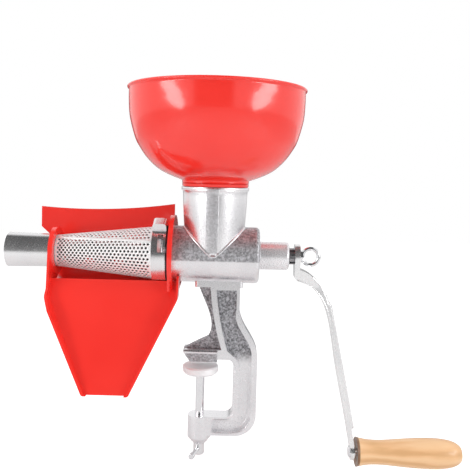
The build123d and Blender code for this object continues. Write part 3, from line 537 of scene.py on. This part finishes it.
def make_screen():
    """The perforated cone: staggered rows of round holes through thin sheet."""
    x0, x1, r0, r1 = CONE_X0, CONE_X1, CONE_R0, CONE_R1
    big_x = CONE_BIG_X
    rows, pitch, hole = 44, 3.95, 1.28
    first, count = -147.3, 24
    step = 2 * math.pi / rows
    bm = bmesh.new()

    def at(x, t):
        r = r0 + (r1 - r0) * min(1.0, (x - x0) / (big_x - x0))
        return bm.verts.new(Vector((x, -r * math.cos(t), AXIS_Z + r * math.sin(t))) * MM)

    for j in range(rows):
        t = j * step
        shift = pitch * 0.5 * (j % 2)
        start = first + shift
        for i in range(count):
            cx = start + i * pitch
            r = r0 + (r1 - r0) * (cx - x0) / (big_x - x0)
            outer = [at(cx + a * pitch * 0.5, t + b * step * 0.5)
                     for a, b in ((1, 0), (1, 1), (0, 1), (-1, 1), (-1, 0), (-1, -1), (0, -1), (1, -1))]
            inner = [at(cx + hole * math.cos(k * math.pi / 4), t + hole * math.sin(k * math.pi / 4) / r)
                     for k in range(8)]
            for k in range(8):
                bm.faces.new((outer[k], outer[(k + 1) % 8], inner[(k + 1) % 8], inner[k]))
        left, right = start - pitch * 0.5, start + (count - 0.5) * pitch
        edge_l, edge_r = first - pitch * 0.5, first + count * pitch
        lows = [edge_l] if shift else []
        strip = [at(x0, t - step / 2)] + [at(v, t - step / 2) for v in lows] + [
            at(left, t - step / 2), at(left, t), at(left, t + step / 2)] + [
            at(v, t + step / 2) for v in lows] + [at(x0, t + step / 2)]
        bm.faces.new(strip)
        highs = [] if shift else [edge_r]
        strip = [at(right, t - step / 2)] + [at(v, t - step / 2) for v in highs] + [
            at(big_x, t - step / 2), at(big_x, t + step / 2)] + [
            at(v, t + step / 2) for v in highs] + [at(right, t + step / 2), at(right, t)]
        bm.faces.new(strip)
        bm.faces.new((at(big_x, t - step / 2), at(x1, t - step / 2),
                      at(x1, t + step / 2), at(big_x, t + step / 2)))
    ob = new_object("perforated_cone", bm, SCREEN)
    solid = ob.modifiers.new("sheet", "SOLIDIFY")
    solid.thickness = 0.0006
    solid.offset = -1.0
    return ob


screen = make_screen()
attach(screen, "strainer")
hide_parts("strainer_screen")


def make_seam():
    """The lapped edge of the rolled sheet, a thin strip along the cone."""
    bm = bmesh.new()
    rows = []
    for i in range(25):
        x = -149.5 + 98.0 * i / 24
        r = CONE_R0 + (CONE_R1 - CONE_R0) * (x - CONE_X0) / (CONE_BIG_X - CONE_X0) + 0.28
        mid = math.asin(min(0.95, 14.6 / r))
        row = []
        for lift in (0.0, 0.4):
            for k in range(4):
                t = mid + (k - 1.5) * 1.15 / r
                rr = r + (lift if k in (1, 2) else 0.0)
                row.append(bm.verts.new(Vector((x, -rr * math.cos(t), AXIS_Z + rr * math.sin(t))) * MM))
        rows.append(row)
    for a, b in zip(rows, rows[1:]):
        for k in range(3):
            bm.faces.new((a[4 + k], a[5 + k], b[5 + k], b[4 + k]))
    ob = new_object("screen_seam", bm, SCREEN)
    solid = ob.modifiers.new("sheet", "SOLIDIFY")
    solid.thickness = 0.0004
    solid.offset = -1.0
    return ob


seam = make_seam()
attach(seam, "strainer")


# ------------------------------------------------------------------ stage, lights, world
def make_stage():
    """A pale floor, below the clamp screw at its lowest, that the camera sees as white."""
    bm = bmesh.new()
    bmesh.ops.create_grid(bm, x_segments=2, y_segments=2, size=3.0)
    s = material("floor")
    grain = s.noise(40.0, 3.0, 0.5)
    color = s.mix(s.level(grain, 0.3, 0.7, 0.0, 1.0), (0.90, 0.90, 0.90), (0.92, 0.92, 0.92))
    mat = finish_material(s, Base_Color=color, Roughness=0.9, Specular_IOR_Level=0.1)
    path = s.node("LightPath")
    seen = s.math("MAXIMUM", path.outputs["Is Camera Ray"], path.outputs["Is Transmission Ray"])
    glow = s.node("Emission", {"Color": (1, 1, 1, 1), "Strength": s.math("MULTIPLY", seen, 0.5)})
    both = s.node("AddShader", {0: s.body.outputs[0], 1: glow.outputs[0]})
    s.tree.links.new(both.outputs[0], s.tree.nodes["Material Output"].inputs["Surface"])
    floor = new_object("floor", bm, mat, smooth=False)
    floor.location = (0, 0, -0.155)


def area(name, where, aim, size, power):
    """A rectangular lamp at where, turned to aim, in metres and watts."""
    light = bpy.data.lights.new(name, "AREA")
    light.shape = "RECTANGLE"
    light.size, light.size_y = size
    light.energy = power
    ob = bpy.data.objects.new(name, light)
    bpy.context.scene.collection.objects.link(ob)
    ob.location = where
    ob.rotation_euler = (Vector(aim) - Vector(where)).to_track_quat("-Z", "Z").to_euler()
    return ob


def make_world():
    """White for the camera, soft light for the part, and dark and white bands for the metals to reflect."""
    world = bpy.data.worlds.new("studio")
    bpy.context.scene.world = world
    s = Shader(world)
    tree = s.tree
    back = tree.nodes["Background"]
    out = tree.nodes["World Output"]
    n = s.node("SeparateXYZ", {"Vector": s.coords.outputs["Generated"]})
    x, y, z = n.outputs[0], n.outputs[1], n.outputs[2]
    side = s.math("ABSOLUTE", s.math("ADD", x, 0.05))
    open_side = s.node("MapRange", {"Value": side, "From Min": 0.36, "From Max": 0.47,
                                    "To Min": 0.10, "To Max": 1.0},
                       interpolation_type="SMOOTHSTEP").outputs[0]
    low = s.node("MapRange", {"Value": z, "From Min": -0.30, "From Max": -0.05,
                              "To Min": 0.9, "To Max": 0.0}, interpolation_type="SMOOTHSTEP").outputs[0]
    far = s.node("MapRange", {"Value": y, "From Min": 0.25, "From Max": 0.60},
                 interpolation_type="SMOOTHSTEP").outputs[0]
    raised = s.node("MapRange", {"Value": z, "From Min": 0.07, "From Max": 0.20},
                    interpolation_type="SMOOTHSTEP").outputs[0]
    shade = s.math("MAXIMUM", s.math("MAXIMUM", open_side, low), s.math("MULTIPLY", far, raised))
    mirror = s.node("Background", {"Color": (1, 1, 1, 1)})
    tree.links.new(shade, mirror.inputs["Strength"])
    back.inputs["Color"].default_value = (1, 1, 1, 1)
    back.inputs["Strength"].default_value = 0.62
    plain = s.node("Background", {"Color": (1, 1, 1, 1), "Strength": 1.0})
    path = s.node("LightPath")
    m1 = s.node("MixShader", {0: path.outputs["Is Glossy Ray"], 1: back.outputs[0], 2: mirror.outputs[0]})
    m2 = s.node("MixShader", {0: path.outputs["Is Camera Ray"], 1: m1.outputs[0], 2: plain.outputs[0]})
    tree.links.new(m2.outputs[0], out.inputs["Surface"])


SIDE_AIM, SIDE_SIZE, SIDE_POWER = (0.0, 0.0, 0.24), (0.26, 0.80), 4.3

make_camera()
make_stage()
make_world()
area("left_box", (-0.98, -0.70, 0.36), SIDE_AIM, SIDE_SIZE, SIDE_POWER)
area("right_box", (1.08, -0.60, 0.36), SIDE_AIM, SIDE_SIZE, SIDE_POWER)
area("top_box", (0.0, -0.15, 1.35), (0.0, 0.0, 0.1), (1.0, 0.9), 4.0).visible_glossy = False

bpy.context.scene.view_settings.view_transform = "Standard"
